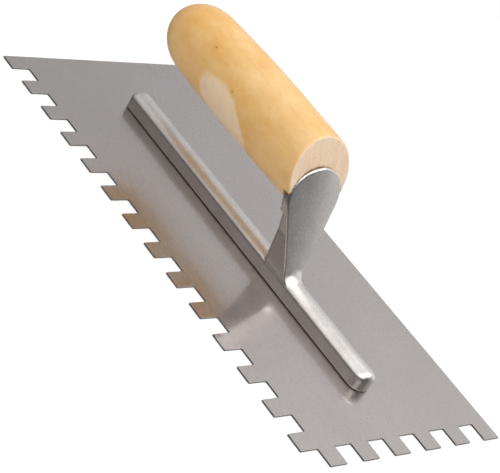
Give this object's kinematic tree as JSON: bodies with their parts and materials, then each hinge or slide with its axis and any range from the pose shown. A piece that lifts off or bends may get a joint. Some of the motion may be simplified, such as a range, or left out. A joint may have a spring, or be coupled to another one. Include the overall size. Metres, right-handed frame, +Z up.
{
  "type": "notched trowel",
  "caption": "Flat steel trowel with square teeth along one long edge and one short end, on a cast aluminium foot with a round wooden handle.",
  "frame": {"origin": "centre of the blade's underside, which is the bottom centre of the whole part", "axes": "+X towards the toothed short end, +Y towards the plain long edge, +Z up from the blade to the handle"},
  "size_m": [0.28, 0.12, 0.0761],
  "materials": {
    "blade_steel": "satin rolled spring steel",
    "cast_aluminium": "tumbled cast aluminium, matte with a fine grain",
    "rivet_aluminium": "ground flush",
    "handle_wood": "clear-lacquered beech with a bare sawn front",
    "zinc_steel": "zinc plated"
  },
  "bodies": {
    "root": {"blade": "blade_steel", "mounting": "cast_aluminium", "handle": "handle_wood", "handle_screw": "zinc_steel", "handle_washer": "zinc_steel", "rivet_1": "rivet_aluminium", "rivet_2": "rivet_aluminium", "rivet_3": "rivet_aluminium", "rivet_4": "rivet_aluminium", "rivet_5": "rivet_aluminium", "rivet_6": "rivet_aluminium", "rivet_7": "rivet_aluminium"}
  },
  "joints": []
}
